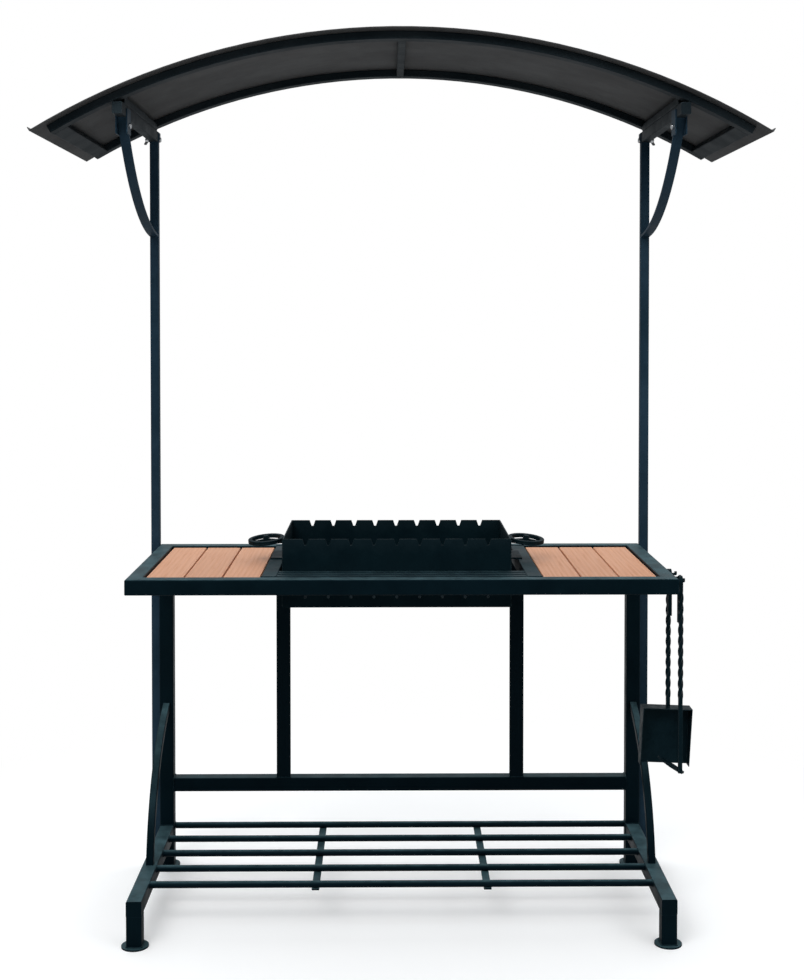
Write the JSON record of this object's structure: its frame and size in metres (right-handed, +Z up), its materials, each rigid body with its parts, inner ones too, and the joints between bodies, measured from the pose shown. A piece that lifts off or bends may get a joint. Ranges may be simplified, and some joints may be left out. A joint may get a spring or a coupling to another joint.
{
  "type": "charcoal grill table with roof",
  "caption": "Free-standing charcoal skewer grill: steel table with wooden side planks, notched lift-out firebox, arched roof, low rod shelf, poker and shovel.",
  "frame": {"origin": "on the ground, at the middle of the plan", "axes": "+X to the right as the cook faces it, +Y to the back, +Z up; the cook stands on the -Y side"},
  "size_m": [1.8524, 0.69, 2.3198],
  "materials": {
    "frame_steel": "satin black powder coat with a blue-green cast",
    "firebox_steel": "matte heat-proof black paint on sheet steel",
    "roof_sheet_steel": "matte dark grey painted sheet",
    "plank_wood": "oiled reddish tan softwood, fine straight grain",
    "tool_steel": "semi-matte black paint on forged bar",
    "zinc_fasteners": "bright zinc plate"
  },
  "bodies": {
    "stand_and_roof": {"brace_plates": "frame_steel", "foot_pads": "frame_steel", "front_arch": "frame_steel", "hearth_bars": "frame_steel", "left_front_leg": "frame_steel", "left_inner_rail": "frame_steel", "left_leg_brace": "frame_steel", "left_plank_1": "plank_wood", "left_plank_2": "plank_wood", "left_plank_3": "plank_wood", "left_rear_leg": "frame_steel", "left_roof_beam": "frame_steel", "left_roof_brace": "frame_steel", "left_roof_post": "frame_steel", "left_side_rail": "frame_steel", "left_upright": "frame_steel", "plank_ledges": "frame_steel", "post_sleeves": "frame_steel", "rear_arch": "frame_steel", "rear_cross_rail": "frame_steel", "right_front_leg": "frame_steel", "right_inner_rail": "frame_steel", "right_leg_brace": "frame_steel", "right_plank_1": "plank_wood", "right_plank_2": "plank_wood", "right_plank_3": "plank_wood", "right_rear_leg": "frame_steel", "right_roof_beam": "frame_steel", "right_roof_brace": "frame_steel", "right_roof_post": "frame_steel", "right_side_rail": "frame_steel", "right_upright": "frame_steel", "roof_bolts": "zinc_fasteners", "roof_end_bars": "frame_steel", "roof_purlins": "frame_steel", "roof_sheet": "roof_sheet_steel", "shelf_rods": "frame_steel", "shelf_straps": "frame_steel", "table_front_rail": "frame_steel", "table_left_rail": "frame_steel", "table_rear_rail": "frame_steel", "table_right_rail": "frame_steel", "tool_hooks": "tool_steel", "wing_nuts": "zinc_fasteners"},
    "firebox": {"firebox_floor": "firebox_steel", "firebox_front_wall": "firebox_steel", "firebox_left_wall": "firebox_steel", "firebox_lugs": "firebox_steel", "firebox_rear_wall": "firebox_steel", "firebox_right_wall": "firebox_steel", "wheel_brackets": "firebox_steel", "wheel_bolts": "firebox_steel"},
    "left_wheel": {"left_hand_wheel": "firebox_steel"},
    "right_wheel": {"right_hand_wheel": "firebox_steel"},
    "poker": {"poker": "tool_steel"},
    "shovel": {"shovel_shaft": "tool_steel", "shovel_blade": "tool_steel"}
  },
  "joints": [
    {"name": "firebox_lift", "type": "slide", "parent": "stand_and_roof", "child": "firebox", "axis": [0, 0, 1], "range_m": [0, 0.25]},
    {"name": "left_wheel_turn", "type": "hinge", "parent": "firebox", "child": "left_wheel", "pos_m": [-0.37, 0.04, 0.991], "axis": [-0.0868, -0.0872, 0.9924], "continuous": true},
    {"name": "right_wheel_turn", "type": "hinge", "parent": "firebox", "child": "right_wheel", "pos_m": [0.345, 0.04, 0.991], "axis": [0.0868, -0.0872, 0.9924], "continuous": true},
    {"name": "poker_swing", "type": "hinge", "parent": "stand_and_roof", "child": "poker", "pos_m": [0.714, -0.245, 0.925], "axis": [1, 0, 0], "range_deg": [-30, 0]},
    {"name": "shovel_swing", "type": "hinge", "parent": "stand_and_roof", "child": "shovel", "pos_m": [0.706, -0.14, 0.925], "axis": [1, 0, 0], "range_deg": [0, 25]}
  ]
}
